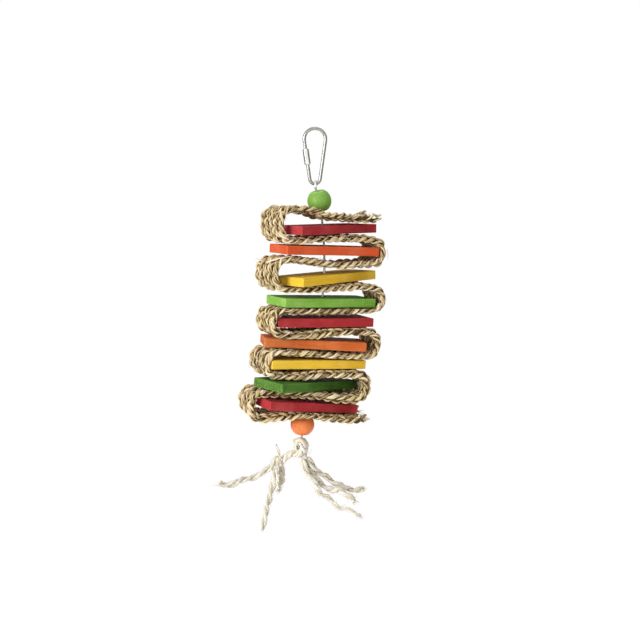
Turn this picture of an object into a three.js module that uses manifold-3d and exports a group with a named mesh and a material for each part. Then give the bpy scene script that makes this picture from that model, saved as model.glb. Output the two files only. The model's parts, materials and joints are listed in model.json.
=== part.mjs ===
// Hanging chew toy for parrots: one woven seagrass strip folded to and fro on a wire,
// a dyed wooden slat in every fold, a bead at each end, a quick link on top and a rope tassel below.
// Millimetres, +Z up. The origin is the inner top of the quick link, where the toy hangs.
import * as THREE from 'three';
import { mergeVertices } from 'three/addons/utils/BufferGeometryUtils.js';
import Module from 'manifold-3d';

const wasm = await Module();
wasm.setup();

// Quick link: pear-shaped wire with a gap in its left leg that a screwed sleeve closes
const LINK_WIRE = 3.2;
const LINK_LENGTH = 57.2;
const LINK_TOP_WIDTH = 24.2;
const LINK_BOTTOM_WIDTH = 13.4;
const LINK_GAP = 8;
const LINK_GAP_DROP = 10;
const SLEEVE_LENGTH = 15.5;
const SLEEVE_ACROSS_FLATS = 5.4;
const SLEEVE_CHAMFER = 0.6;
const SLEEVE_OVERLAP = 2;

// Spine wire, with an eye bent at each end and its tails tucked back into the beads
const SPINE_WIRE = 2.2;
const TOP_EYE_BORE = 6;
const BOTTOM_EYE_BORE = 7.4;
const TAIL_LENGTH = 14;
const TAIL_GAP = 0.6;

// How far the hand-bent wire wanders sideways, by depth below the hanging point
const BOW_DEPTHS = [50, 58, 70, 82, 100, 136, 161, 184, 197, 238, 270, 304];
const BOW_OFFSETS = [0, 1.5, 5, 7, 8.8, 10.4, 8.4, 4.9, 2.3, -6.6, -10.7, -13.7];

// Beads: wooden balls with flat ends, the lower one pressed into the strip
const BEAD_DIAMETER = 24;
const BEAD_HEIGHT = 20.5;
const BEAD_SINK = 2.4;

// Slats: sawn softwood with eased edges
const SLAT_LENGTH = 101.6;
const SLAT_WIDTH = 42.5;
const SLAT_THICK = 8.8;
const SLAT_EASE = 0.6;

// Seagrass strip
const STRIP_WIDTH = 48;
const STRIP_THICK = 7.6;
const STRIP_EDGE_RADIUS = 3;
const TURN_INNER_RADIUS = 5;
const TOP_END_REACH = 51;
const BOTTOM_END_REACH = 59;

// How far the stack is turned on the wire, degrees, by depth below the hanging point
const TURN_DEPTHS = [80, 190, 230, 290];
const TURNS = [25, 21.5, 18, 7];

// Slope of each layer of the strip, degrees, positive where its right end is higher
const LAYER_SLOPES = [-3.5, 0.5, -6, 2.5, -4, -0.5, -5, -2, -8.5, -7];

// One entry for each fold: the slat's dye, how far it is fanned from the strip's own direction, how it lies
// (0 along the layer above, 1 flat on the layer below), how far its hole is off its middle, and how much
// further than its slat needs the turn hangs out
const FOLDS = [
  { dye: 'red', fan: 19, lie: 0.8, shift: 4, loose: 0 },
  { dye: 'orange', fan: 3, lie: 0.5, shift: 0.5, loose: 0 },
  { dye: 'yellow', fan: 21.5, lie: 0.88, shift: 2, loose: 3 },
  { dye: 'green', fan: 6, lie: 0.84, shift: -0.5, loose: 0 },
  { dye: 'red', fan: 1, lie: 0.5, shift: 0, loose: 0 },
  { dye: 'orange', fan: -10.5, lie: 0.78, shift: -1.5, loose: 0 },
  { dye: 'yellow', fan: 7, lie: 0.5, shift: 1, loose: 0 },
  { dye: 'dark_green', fan: 30, lie: 0.5, shift: -1.5, loose: 0 },
  { dye: 'red', fan: 21, lie: 0.5, shift: 0, loose: 0 },
];

// Tassel: a rope drawn through the lower eye, knotted, its two ends unlaid into three strands each
const ROPE_DIAMETER = 6.6;
const KNOT_RADIUS = 4;
const KNOT_WAIST = 2.4;
const KNOT_DROP = 9;
const KNOT_TILT = -25;
const STRAND_DIAMETER = 5;
const ROPE_ENDS = [
  [[-1, 0, -9], [-6.7, 0, -8.7], [-12, 0, -10.5], [-21, 0, -15.6]],
  [[1, 0, -8], [1.9, 0, -10.8], [3, 0, -13.6]],
];

// Points along each strand, from the lower eye, x to the right and y away from the viewer
const STRANDS = [
  [
    [-23.1, 0, -12.8], [-25.9, -0.1, -14.4], [-28.6, -0.5, -18.4], [-31.5, -1, -22.8],
    [-36.3, -2, -25.9], [-43.3, -3.2, -29.9], [-50.3, -4.5, -32.9], [-57.3, -5.9, -33.8],
    [-64.3, -7.4, -35.9], [-70.6, -8.9, -38.6], [-76.7, -10.4, -38.8], [-81.8, -12, -37.1],
  ],
  [
    [-20.6, -2.7, -17.3], [-22.9, -2.9, -18.6], [-24.9, -3, -23], [-26.6, -3.1, -29.1],
    [-28.4, -3.2, -36.8], [-30.9, -3.3, -47.6], [-32.5, -3.4, -55.4], [-35.1, -3.6, -63],
    [-36.3, -3.7, -71.7], [-38.2, -3.9, -79.2], [-39.5, -4, -86],
  ],
  [
    [-20.6, 2.7, -17.3], [-22, 3, -18.4], [-21.4, 3.4, -22.8], [-20.4, 3.8, -28.6],
    [-20, 4.4, -34.5], [-21.3, 5.2, -42.1], [-23.6, 6, -48.2],
  ],
  [
    [6.4, 0, -12.8], [7.4, 0.2, -15.3], [10, 0.9, -20], [13.2, 2, -25.4],
    [17.9, 3.4, -29.6], [24.4, 5, -33.2], [29.9, 6.6, -39.6], [37.3, 8.2, -43.2],
    [46, 9.8, -47.1], [54.7, 11.4, -49.9], [63.2, 13, -49.1],
  ],
  [
    [1.6, 2.7, -14.7], [2.6, 2.8, -17.3], [6.4, 2.8, -23.6], [10.6, 2.7, -30.6],
    [16.4, 2.4, -36.1], [22.1, 2.1, -43.1], [29.5, 1.7, -47.1], [37.8, 1.4, -46.9],
    [44.9, 1.2, -51.7], [53.8, 1, -58.4],
  ],
  [
    [1.6, -2.7, -14.7], [2.5, -2.9, -17.3], [3.4, -3.5, -24.6], [7, -4.2, -31],
    [12.2, -4.9, -36.4], [15.7, -5.6, -44.3], [20.2, -6.4, -50], [26.3, -7.2, -52.3],
    [32.6, -8.1, -58.2], [38.9, -9.1, -63.4], [45.4, -10, -63.1], [52.1, -11, -66.3],
    [58.8, -12, -70.4],
  ],
];

// Clearances between pieces that touch or run on each other
const TOUCH = 0.3;
const WIRE_PLAY = 0.4;
const BEAD_PLAY = 0.6;
const SLAT_PLAY = 1.5;
const FOLD_PLAY = 1.2;

// Facets: sides of round sections, and steps along lines and round bends
const WIRE_SIDES = 8;
const LINK_SIDES = 10;
const ROPE_SIDES = 10;
const BEAD_SIDES = 24;
const BORE_SIDES = 16;
const LINK_STEPS = 64;
const LINK_TOP_STEPS = 14;
const LINK_BOTTOM_STEPS = 10;
const SPINE_STEPS = 130;
const EYE_STEP_ANGLE = 30;
const TURN_STEPS = 6;
const BEAD_ARC_STEPS = 10;
const BIGHT_STEPS = 24;
const BIGHT_ARC_STEPS = 8;
const WRAP_STEPS = 18;
const ROPE_END_STEPS = 6;

// Rounds of correction that bring a piece on the bowed wire to its height
const SEAT_ROUNDS = 8;

const COLOURS = {
  steel: 0xc9ccca,
  red: 0xa52d34,
  orange: 0xd2652f,
  yellow: 0xe0b132,
  green: 0x6fb041,
  dark_green: 0x41742d,
  seagrass: 0xb59a68,
  rope: 0xe1dccd,
};

const radians = THREE.MathUtils.degToRad;
const slope = (degrees) => Math.tan(radians(degrees));
const vector = (x, y, z) => new THREE.Vector3(x, y, z);

const steel = new THREE.MeshStandardMaterial({ color: COLOURS.steel, roughness: 0.28, metalness: 1 });
const seagrass = new THREE.MeshStandardMaterial({ color: COLOURS.seagrass, roughness: 0.9, metalness: 0 });
const rope = new THREE.MeshStandardMaterial({ color: COLOURS.rope, roughness: 0.95, metalness: 0 });

function dyedWood(dye) {
  return new THREE.MeshStandardMaterial({ color: COLOURS[dye], roughness: 0.65, metalness: 0 });
}

// Solids and booleans
function solidOf(geometry) {
  const bare = geometry.clone();
  bare.deleteAttribute('normal');
  bare.deleteAttribute('uv');
  const merged = mergeVertices(bare, 1e-4);
  const vertProperties = new Float32Array(merged.attributes.position.array);
  const triVerts = new Uint32Array(merged.index.array);
  return new wasm.Manifold(new wasm.Mesh({ numProp: 3, vertProperties, triVerts }));
}

function geometryOf(solid) {
  const mesh = solid.getMesh();
  const geometry = new THREE.BufferGeometry();
  geometry.setAttribute('position', new THREE.BufferAttribute(mesh.vertProperties, 3));
  geometry.setIndex(new THREE.BufferAttribute(mesh.triVerts, 1));
  geometry.computeVertexNormals();
  return geometry;
}

function part(name, geometry, material) {
  const mesh = new THREE.Mesh(geometry, material);
  mesh.name = name;
  return mesh;
}

// A round section swept along a smooth curve through the points
function tube(points, diameter, sides, steps) {
  const section = new THREE.Shape();
  for (let k = 0; k < sides; k += 1) {
    const angle = (2 * Math.PI * (k + 0.5)) / sides;
    const x = (diameter / 2) * Math.cos(angle);
    const y = (diameter / 2) * Math.sin(angle);
    if (k === 0) section.moveTo(x, y);
    else section.lineTo(x, y);
  }
  const extrudePath = new THREE.CatmullRomCurve3(points);
  extrudePath.arcLengthDivisions = 2000;
  return new THREE.ExtrudeGeometry(section, { steps, extrudePath });
}

// Points on an arc in the XZ plane, angles in degrees from +X towards +Z
function arcPoints(centre, radius, from, to, count) {
  const points = [];
  for (let k = 0; k <= count; k += 1) {
    const angle = radians(from + ((to - from) * k) / count);
    points.push(vector(centre.x + radius * Math.cos(angle), 0, centre.z + radius * Math.sin(angle)));
  }
  return points;
}

// Quick link
const linkTopRadius = (LINK_TOP_WIDTH - LINK_WIRE) / 2;
const linkBottomRadius = (LINK_BOTTOM_WIDTH - LINK_WIRE) / 2;
const linkTopCentre = vector(0, 0, LINK_WIRE / 2 - linkTopRadius);
const linkBottom = LINK_WIRE - LINK_LENGTH + LINK_WIRE / 2;
const linkBottomCentre = vector(0, 0, linkBottom + linkBottomRadius);
const linkTaper = THREE.MathUtils.radToDeg(
  Math.asin((linkTopRadius - linkBottomRadius) / (linkTopCentre.z - linkBottomCentre.z)),
);

function quickLink() {
  const upper = arcPoints(linkTopCentre, linkTopRadius, -linkTaper, 180 + linkTaper, LINK_TOP_STEPS);
  const lower = arcPoints(
    linkBottomCentre, linkBottomRadius, 180 + linkTaper, 360 - linkTaper, LINK_BOTTOM_STEPS,
  );
  const legTop = upper[upper.length - 1];
  const legBottom = lower[0];
  const down = legBottom.clone().sub(legTop).normalize();
  const gapTop = legTop.clone().addScaledVector(down, LINK_GAP_DROP);
  const gapBottom = gapTop.clone().addScaledVector(down, LINK_GAP);
  const rightLegMiddle = lower[lower.length - 1].clone().lerp(upper[0], 0.5);
  const points = [gapBottom, ...lower, rightLegMiddle, ...upper, gapTop];
  const body = part('quick_link_body', tube(points, LINK_WIRE, LINK_SIDES, LINK_STEPS), steel);

  const bore = (LINK_WIRE / 2 + TOUCH) / Math.cos(Math.PI / 6);
  const corner = SLEEVE_ACROSS_FLATS / 2 / Math.cos(Math.PI / 6);
  const profile = [
    new THREE.Vector2(bore, 0),
    new THREE.Vector2(corner - SLEEVE_CHAMFER, 0),
    new THREE.Vector2(corner, SLEEVE_CHAMFER),
    new THREE.Vector2(corner, SLEEVE_LENGTH - SLEEVE_CHAMFER),
    new THREE.Vector2(corner - SLEEVE_CHAMFER, SLEEVE_LENGTH),
    new THREE.Vector2(bore, SLEEVE_LENGTH),
    new THREE.Vector2(bore, 0),
  ];
  const sleeve = part('quick_link_sleeve', new THREE.LatheGeometry(profile, 6), steel);
  sleeve.position.copy(gapTop).addScaledVector(down, -SLEEVE_OVERLAP);
  sleeve.quaternion.setFromUnitVectors(vector(0, 1, 0), down);
  return [body, sleeve];
}

// Sideways place of the wire, in the plane of the stack, at a height
const bowCurve = new THREE.CubicInterpolant(BOW_DEPTHS, BOW_OFFSETS, 1);
const bow = (z) => bowCurve.evaluate(-z)[0];
const lean = (z) => Math.atan2(bow(z + 1) - bow(z - 1), 2);

// A layer of the strip is a line in the stack's plane: a point on it and its slope
const heightOn = (layer, x) => layer.z + (x - layer.x) * slope(layer.slope);
const normalTo = (tilt) => new THREE.Vector2(-Math.sin(radians(tilt)), Math.cos(radians(tilt)));

// Height on the wire of a piece whose middle lies a distance under a layer, square to the piece's tilt
function heightUnder(layer, distance, tilt) {
  const reach = normalTo(tilt).multiplyScalar(distance);
  let z = layer.z - distance;
  for (let round = 0; round < SEAT_ROUNDS; round += 1) {
    z += heightOn(layer, bow(z) + reach.x) - (z + reach.y);
  }
  return z;
}

// Distance from a bead's middle to a layer that it rests on, when its axis leans from the layer's normal
function beadSeat(height, layerSlope) {
  const flatRadius = Math.sqrt(BEAD_DIAMETER ** 2 - BEAD_HEIGHT ** 2) / 2;
  const leaning = Math.abs(lean(height) + radians(layerSlope));
  const support = (BEAD_HEIGHT / 2) * Math.cos(leaning) + flatRadius * Math.sin(leaning);
  return support + TOUCH + STRIP_THICK / 2;
}

// Heights of the upper eye and bead, from the link down
const topEyeRadius = (TOP_EYE_BORE + SPINE_WIRE) / 2;
const topEye = linkBottom + (LINK_WIRE + SPINE_WIRE) / 2 + TOUCH - topEyeRadius;
const topBead = topEye - topEyeRadius - SPINE_WIRE / 2 - TOUCH - BEAD_HEIGHT / 2;

// Furthest that a slat's corner reaches from the wire on one side (-1 or 1), at any angle
const slatReach = (fold, side) => Math.hypot(SLAT_LENGTH / 2 + side * fold.shift, SLAT_WIDTH / 2);

function firstLayer() {
  const drop = normalTo(LAYER_SLOPES[0]).multiplyScalar(beadSeat(topBead, LAYER_SLOPES[0]));
  return { x: bow(topBead) - drop.x, z: topBead - drop.y, slope: LAYER_SLOPES[0] };
}

// Each fold is a wedge, pinched on its slat at the mouth and open at the turn, where the slat can tilt
function stackFolds() {
  const layers = [firstLayer()];
  const folds = FOLDS.map((fold, k) => {
    const above = LAYER_SLOPES[k];
    const below = LAYER_SLOPES[k + 1];
    const midway = (above + below) / 2;
    const wedge = Math.abs(above - below) / 2;
    const pinch = SLAT_THICK / 2 + TOUCH + STRIP_THICK / 2 / Math.cos(radians(wedge));
    const side = k % 2 === 0 ? -1 : 1;
    const mouth = slatReach(fold, -side);
    const spread = pinch + mouth * slope(wedge);
    const middle = heightUnder(layers[k], spread, midway);
    const drop = normalTo(midway).multiplyScalar(spread);
    layers.push({ x: bow(middle) - drop.x, z: middle - drop.y, slope: below });
    const tilt = THREE.MathUtils.lerp(above, below, fold.lie);
    const z = middle + side * mouth * (slope(tilt) - slope(midway));
    return { ...fold, x: bow(z), z, tilt, side };
  });
  return { layers, folds };
}

const { layers, folds } = stackFolds();
const lastLayer = layers[layers.length - 1];

// Heights of the lower bead and eye
const lowerSeat = beadSeat(lastLayer.z - BEAD_HEIGHT / 2, lastLayer.slope) - BEAD_SINK;
const bottomBead = heightUnder(lastLayer, lowerSeat, lastLayer.slope);
const bottomEyeRadius = (BOTTOM_EYE_BORE + SPINE_WIRE) / 2;
const bottomEye = bottomBead - BEAD_HEIGHT / 2 - TOUCH - SPINE_WIRE / 2 - bottomEyeRadius;

// A point of the stack in the toy's frame: x along the strip, y across it
const turnCurve = new THREE.CubicInterpolant(TURN_DEPTHS, TURNS, 1);
const stackTurn = (z) => radians(turnCurve.evaluate(-z)[0]);
const turned = (place, z) => place.applyAxisAngle(vector(0, 0, 1), stackTurn(z));
const inStack = (x, y, z) => turned(vector(x, y, z), z);

// Spine wire
const legOffset = (SPINE_WIRE + TAIL_GAP) / 2;
const onWire = (z) => inStack(bow(z), 0, z);
const beside = (z, y) => onWire(z).add(vector(0, y, 0));

function eyePoints(height, radius, up) {
  const points = [];
  for (let angle = EYE_STEP_ANGLE - 180; angle <= 180 - EYE_STEP_ANGLE; angle += EYE_STEP_ANGLE) {
    const y = up * -radius * Math.sin(radians(angle));
    const z = up * radius * Math.cos(radians(angle));
    points.push(onWire(height).add(vector(0, y, z)));
  }
  return points;
}

function spinePoints() {
  const beadTop = topBead + BEAD_HEIGHT / 2;
  const beadBottom = bottomBead - BEAD_HEIGHT / 2;
  return [
    beside(beadTop - TAIL_LENGTH, legOffset),
    beside(beadTop - TAIL_LENGTH / 2, legOffset),
    beside(beadTop, legOffset),
    ...eyePoints(topEye, topEyeRadius, 1),
    beside(beadTop, -legOffset),
    beside(topBead, -legOffset),
    beside(topBead - BEAD_HEIGHT / 2, -legOffset),
    ...folds.map((fold) => onWire(fold.z)),
    beside(bottomBead + BEAD_HEIGHT / 2, -legOffset),
    beside(bottomBead, -legOffset),
    beside(beadBottom, -legOffset),
    ...eyePoints(bottomEye, bottomEyeRadius, -1),
    beside(beadBottom, legOffset),
    beside(beadBottom + TAIL_LENGTH / 2, legOffset),
    beside(beadBottom + TAIL_LENGTH, legOffset),
  ];
}

const spineTube = (play) => tube(spinePoints(), SPINE_WIRE + 2 * play, WIRE_SIDES, SPINE_STEPS);

// Beads
function bead(name, dye, height) {
  const radius = BEAD_DIAMETER / 2;
  const bore = legOffset + SPINE_WIRE / 2 + BEAD_PLAY;
  const end = Math.asin(BEAD_HEIGHT / BEAD_DIAMETER);
  const profile = [new THREE.Vector2(bore, -BEAD_HEIGHT / 2)];
  for (let k = 0; k <= BEAD_ARC_STEPS; k += 1) {
    const angle = -end + (2 * end * k) / BEAD_ARC_STEPS;
    profile.push(new THREE.Vector2(radius * Math.cos(angle), radius * Math.sin(angle)));
  }
  profile.push(new THREE.Vector2(bore, BEAD_HEIGHT / 2), profile[0].clone());
  const geometry = new THREE.LatheGeometry(profile, BEAD_SIDES);
  geometry.rotateX(Math.PI / 2);
  const mesh = part(name, geometry, dyedWood(dye));
  const axis = vector(Math.sin(lean(height)), 0, Math.cos(lean(height)));
  mesh.position.copy(onWire(height));
  mesh.quaternion.setFromUnitVectors(vector(0, 0, 1), turned(axis, height));
  return mesh;
}

// Slats
function slatGeometry(shift) {
  const left = shift - SLAT_LENGTH / 2;
  const right = shift + SLAT_LENGTH / 2;
  const outline = new THREE.Shape();
  outline.moveTo(left, -SLAT_WIDTH / 2);
  outline.lineTo(right, -SLAT_WIDTH / 2);
  outline.lineTo(right, SLAT_WIDTH / 2);
  outline.lineTo(left, SLAT_WIDTH / 2);
  const bore = new THREE.Path();
  bore.absarc(0, 0, SPINE_WIRE / 2 + SLAT_PLAY, 0, 2 * Math.PI, true);
  outline.holes.push(bore);
  const geometry = new THREE.ExtrudeGeometry(outline, {
    depth: SLAT_THICK - 2 * SLAT_EASE,
    bevelThickness: SLAT_EASE,
    bevelSize: SLAT_EASE,
    bevelOffset: -SLAT_EASE,
    bevelSegments: 1,
    curveSegments: BORE_SIDES,
  });
  geometry.translate(0, 0, SLAT_EASE - SLAT_THICK / 2);
  return geometry;
}

function slat(fold, k) {
  const mesh = part(`slat_${k + 1}_${fold.dye}`, slatGeometry(fold.shift), dyedWood(fold.dye));
  mesh.rotation.z = radians(fold.fan);
  const seat = new THREE.Group();
  seat.position.copy(onWire(fold.z));
  seat.rotation.set(0, -radians(fold.tilt), stackTurn(fold.z), 'ZYX');
  seat.add(mesh);
  return seat;
}

// Corners of the strip's middle line, before its turns are rounded
function stripCorners() {
  const turnAt = (fold) => {
    const reach = slatReach(fold, fold.side) + FOLD_PLAY + fold.loose + STRIP_THICK / 2;
    return fold.x + fold.side * reach;
  };
  const corner = (layer, x) => new THREE.Vector2(x, heightOn(layer, x));
  const corners = [corner(layers[0], bow(layers[0].z) + TOP_END_REACH)];
  folds.forEach((fold, k) => {
    corners.push(corner(layers[k], turnAt(fold)), corner(layers[k + 1], turnAt(fold)));
  });
  corners.push(corner(lastLayer, bow(lastLayer.z) + BOTTOM_END_REACH));
  return corners;
}

// Stations along a line with rounded corners: each has a place and a direction
function roundedLine(corners, radius) {
  const stations = [];
  const add = (place, direction) => stations.push({ place, direction: direction.clone().normalize() });
  add(corners[0], corners[1].clone().sub(corners[0]));
  for (let k = 1; k < corners.length - 1; k += 1) {
    const arriving = corners[k].clone().sub(corners[k - 1]).normalize();
    const leaving = corners[k + 1].clone().sub(corners[k]).normalize();
    const bend = Math.atan2(arriving.cross(leaving), arriving.dot(leaving));
    const bendSide = Math.sign(bend);
    const setback = radius * Math.tan(Math.abs(bend) / 2);
    const inward = new THREE.Vector2(-arriving.y, arriving.x).multiplyScalar(bendSide);
    const centre = corners[k].clone().addScaledVector(arriving, -setback).addScaledVector(inward, radius);
    for (let step = 0; step <= TURN_STEPS; step += 1) {
      const angle = (bend * step) / TURN_STEPS;
      const direction = arriving.clone().rotateAround(new THREE.Vector2(), angle);
      const outward = new THREE.Vector2(direction.y, -direction.x).multiplyScalar(bendSide);
      add(centre.clone().addScaledVector(outward, radius), direction);
    }
  }
  const last = corners[corners.length - 1];
  add(last, last.clone().sub(corners[corners.length - 2]));
  return stations;
}

// Section of the strip: flat, with rounded edges
function stripSection() {
  const points = [];
  const halfWidth = STRIP_WIDTH / 2 - STRIP_EDGE_RADIUS;
  const halfThick = STRIP_THICK / 2 - STRIP_EDGE_RADIUS;
  [[1, 1], [-1, 1], [-1, -1], [1, -1]].forEach(([across, up], quarter) => {
    [0, 45, 90].forEach((turned) => {
      const angle = radians(quarter * 90 + turned);
      points.push(new THREE.Vector2(
        across * halfWidth + STRIP_EDGE_RADIUS * Math.cos(angle),
        up * halfThick + STRIP_EDGE_RADIUS * Math.sin(angle),
      ));
    });
  });
  return points;
}

// The section carried along the stations, closed at both ends
function stripGeometry() {
  const section = stripSection();
  const stations = roundedLine(stripCorners(), TURN_INNER_RADIUS + STRIP_THICK / 2);
  const count = section.length;
  const positions = [];
  const indices = [];
  stations.forEach(({ place, direction }, k) => {
    section.forEach(({ x, y }, j) => {
      positions.push(...inStack(place.x - direction.y * y, x, place.y + direction.x * y));
      if (k === 0) return;
      const here = k * count + j;
      const next = k * count + ((j + 1) % count);
      indices.push(here, here - count, next - count, here, next - count, next);
    });
  });
  const lastRing = (stations.length - 1) * count;
  for (let j = 1; j < count - 1; j += 1) {
    indices.push(0, j + 1, j);
    indices.push(lastRing, lastRing + j, lastRing + j + 1);
  }
  const geometry = new THREE.BufferGeometry();
  geometry.setAttribute('position', new THREE.Float32BufferAttribute(positions, 3));
  geometry.setIndex(indices);
  return geometry;
}

// The strip with the holes that the wire is pushed through and the dent that the lower bead presses in it
function seagrassStrip(pressedBead) {
  pressedBead.updateMatrix();
  const dent = solidOf(pressedBead.geometry)
    .hull()
    .scale(1 + (2 * TOUCH) / BEAD_HEIGHT)
    .transform(pressedBead.matrix.elements);
  const pierced = solidOf(stripGeometry()).subtract(solidOf(spineTube(WIRE_PLAY))).subtract(dent);
  return part('seagrass_strip', geometryOf(pierced), seagrass);
}

// Tassel, in a group whose origin is the lowest point of the lower eye's wire
const vectors = (list) => list.map(([x, y, z]) => vector(x, y, z));

function tasselKnot() {
  const bightRadius = (SPINE_WIRE + ROPE_DIAMETER) / 2 + TOUCH;
  const bight = [
    vector(-KNOT_WAIST, 0, -KNOT_DROP - ROPE_DIAMETER / 2),
    vector(-KNOT_WAIST, 0, -KNOT_DROP),
    ...arcPoints(vector(0, 0, 0), bightRadius, 180, 0, BIGHT_ARC_STEPS),
    vector(KNOT_WAIST, 0, -KNOT_DROP),
    vector(KNOT_WAIST, 0, -KNOT_DROP - ROPE_DIAMETER / 2),
  ];
  const wrap = new THREE.TorusGeometry(KNOT_RADIUS, ROPE_DIAMETER / 2, ROPE_SIDES, WRAP_STEPS);
  wrap.rotateY(radians(KNOT_TILT));
  wrap.translate(0, 0, -KNOT_DROP);
  const ends = ROPE_ENDS.map((end) => solidOf(tube(vectors(end), ROPE_DIAMETER, ROPE_SIDES, ROPE_END_STEPS)));
  const knot = ends.reduce(
    (solid, end) => solid.add(end),
    solidOf(tube(bight, ROPE_DIAMETER, ROPE_SIDES, BIGHT_STEPS)).add(solidOf(wrap)),
  );
  return part('tassel_knot', geometryOf(knot), rope);
}

function tasselStrand(list, k) {
  const path = vectors(list);
  const steps = Math.round(new THREE.CatmullRomCurve3(path).getLength() / (2 * STRAND_DIAMETER));
  return part(`tassel_strand_${k + 1}`, tube(path, STRAND_DIAMETER, WIRE_SIDES, steps), rope);
}

// Assembly
const tassel = new THREE.Group();
tassel.position.copy(onWire(bottomEye)).add(vector(0, 0, -bottomEyeRadius));
tassel.add(tasselKnot(), ...STRANDS.map(tasselStrand));

const lowerBead = bead('bottom_bead', 'orange', bottomBead);

const toy = new THREE.Group();
toy.add(
  ...quickLink(),
  part('spine_wire', spineTube(0), steel),
  bead('top_bead', 'green', topBead),
  seagrassStrip(lowerBead),
  ...folds.map(slat),
  lowerBead,
  tassel,
);

export default toy;
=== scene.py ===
# Hanging chew toy: a plaited seagrass strip, dyed slats, beads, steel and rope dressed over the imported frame
import json
import math

import bmesh
import bpy
import numpy as np
from mathutils import Matrix, Vector


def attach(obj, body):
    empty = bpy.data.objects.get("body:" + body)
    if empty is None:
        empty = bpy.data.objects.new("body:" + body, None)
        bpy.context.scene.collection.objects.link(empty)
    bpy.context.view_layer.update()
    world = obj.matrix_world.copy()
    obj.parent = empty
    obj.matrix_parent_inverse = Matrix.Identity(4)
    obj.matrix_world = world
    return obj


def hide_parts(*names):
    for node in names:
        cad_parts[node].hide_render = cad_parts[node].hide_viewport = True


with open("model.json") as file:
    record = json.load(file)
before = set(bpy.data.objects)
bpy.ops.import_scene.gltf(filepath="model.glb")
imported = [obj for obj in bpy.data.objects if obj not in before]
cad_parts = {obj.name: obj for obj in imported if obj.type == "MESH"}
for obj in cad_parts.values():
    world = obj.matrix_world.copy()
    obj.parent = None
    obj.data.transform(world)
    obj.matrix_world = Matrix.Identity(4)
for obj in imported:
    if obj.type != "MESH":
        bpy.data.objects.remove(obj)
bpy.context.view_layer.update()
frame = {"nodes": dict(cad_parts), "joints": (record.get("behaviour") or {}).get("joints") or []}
MM = 0.001
joints = {joint["name"]: joint for joint in frame["joints"]}

# Camera, at the photograph's place and angle
CAMERA_PLACE = (0.005, -1.150, -0.0546)
CAMERA_PITCH = 6.6
CAMERA_ANGLE = 30.903


def new_object(name, data):
    made = bpy.data.objects.new(name, data)
    bpy.context.scene.collection.objects.link(made)
    return made


camera = new_object("camera", bpy.data.cameras.new("camera"))
camera.location = CAMERA_PLACE
camera.rotation_euler = (math.radians(90 - CAMERA_PITCH), 0, 0)
camera.data.sensor_fit = "HORIZONTAL"
camera.data.angle = math.radians(CAMERA_ANGLE)
bpy.context.scene.camera = camera


# Shader nodes
def plug(value, socket):
    """Sets a socket to a value, or links it to another node's socket."""
    if isinstance(value, bpy.types.NodeSocket):
        socket.id_data.links.new(value, socket)
    else:
        socket.default_value = value


def node_maker(tree):
    def node(kind, inputs=None, **settings):
        made = tree.nodes.new("ShaderNode" + kind)
        for key, value in settings.items():
            setattr(made, key, value)
        for key, value in (inputs or {}).items():
            plug(value, made.inputs[key])
        return made

    return node


def new_material(name):
    """A material, the function that adds its nodes, and the one that feeds its shader."""
    material = bpy.data.materials.new(name)
    material.use_nodes = True
    shader = material.node_tree.nodes["Principled BSDF"]

    def feed(key, value):
        plug(value, shader.inputs[key])

    return material, node_maker(material.node_tree), feed


def linear(red, green, blue):
    """A colour as it looks on a screen, 0 to 255, as the renderer's linear colour."""
    parts = [c / 255 for c in (red, green, blue)]
    return tuple(c / 12.92 if c <= 0.04045 else ((c + 0.055) / 1.055) ** 2.4 for c in parts) + (1.0,)


def grey(level):
    return (level, level, level, 1)


def ramp(node, factor, stops):
    made = node("ValToRGB", {"Fac": factor})
    elements = made.color_ramp.elements
    while len(elements) < len(stops):
        elements.new(0.5)
    for element, (place, colour) in zip(elements, stops):
        element.position = place
        element.color = colour
    return made.outputs["Color"]


def fade(node, factor, low, high, first=0.0, last=1.0):
    """A grey from first, where the factor is low, to last, where it is high."""
    return ramp(node, factor, [(low, grey(first)), (high, grey(last))])


def maths(node, operation, *values):
    return node("Math", dict(enumerate(values)), operation=operation).outputs["Value"]


def mix(node, factor, first, second, blend="MIX"):
    made = node("Mix", data_type="RGBA", blend_type=blend)
    plug(factor, next(s for s in made.inputs if s.name == "Factor"))
    colours = {s.name: s for s in made.inputs if s.type == "RGBA"}
    plug(first, colours["A"])
    plug(second, colours["B"])
    return next(s for s in made.outputs if s.type == "RGBA")


def noise(node, vector, stretch, scale, detail, roughness=0.55):
    """Noise drawn out along the axes where stretch is below 1."""
    if stretch:
        vector = node("Mapping", {"Vector": vector, "Scale": stretch}).outputs["Vector"]
    made = node("TexNoise", {"Vector": vector, "Scale": scale, "Detail": detail, "Roughness": roughness})
    return made.outputs["Fac"]


def bump(node, height, strength, distance):
    return node("Bump", {"Height": height, "Strength": strength, "Distance": distance}).outputs["Normal"]


# Materials
FINE_STREAKS = 0.95
BROAD_STREAKS = 0.7
WORN_STEEL = (150, 148, 142)


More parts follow.
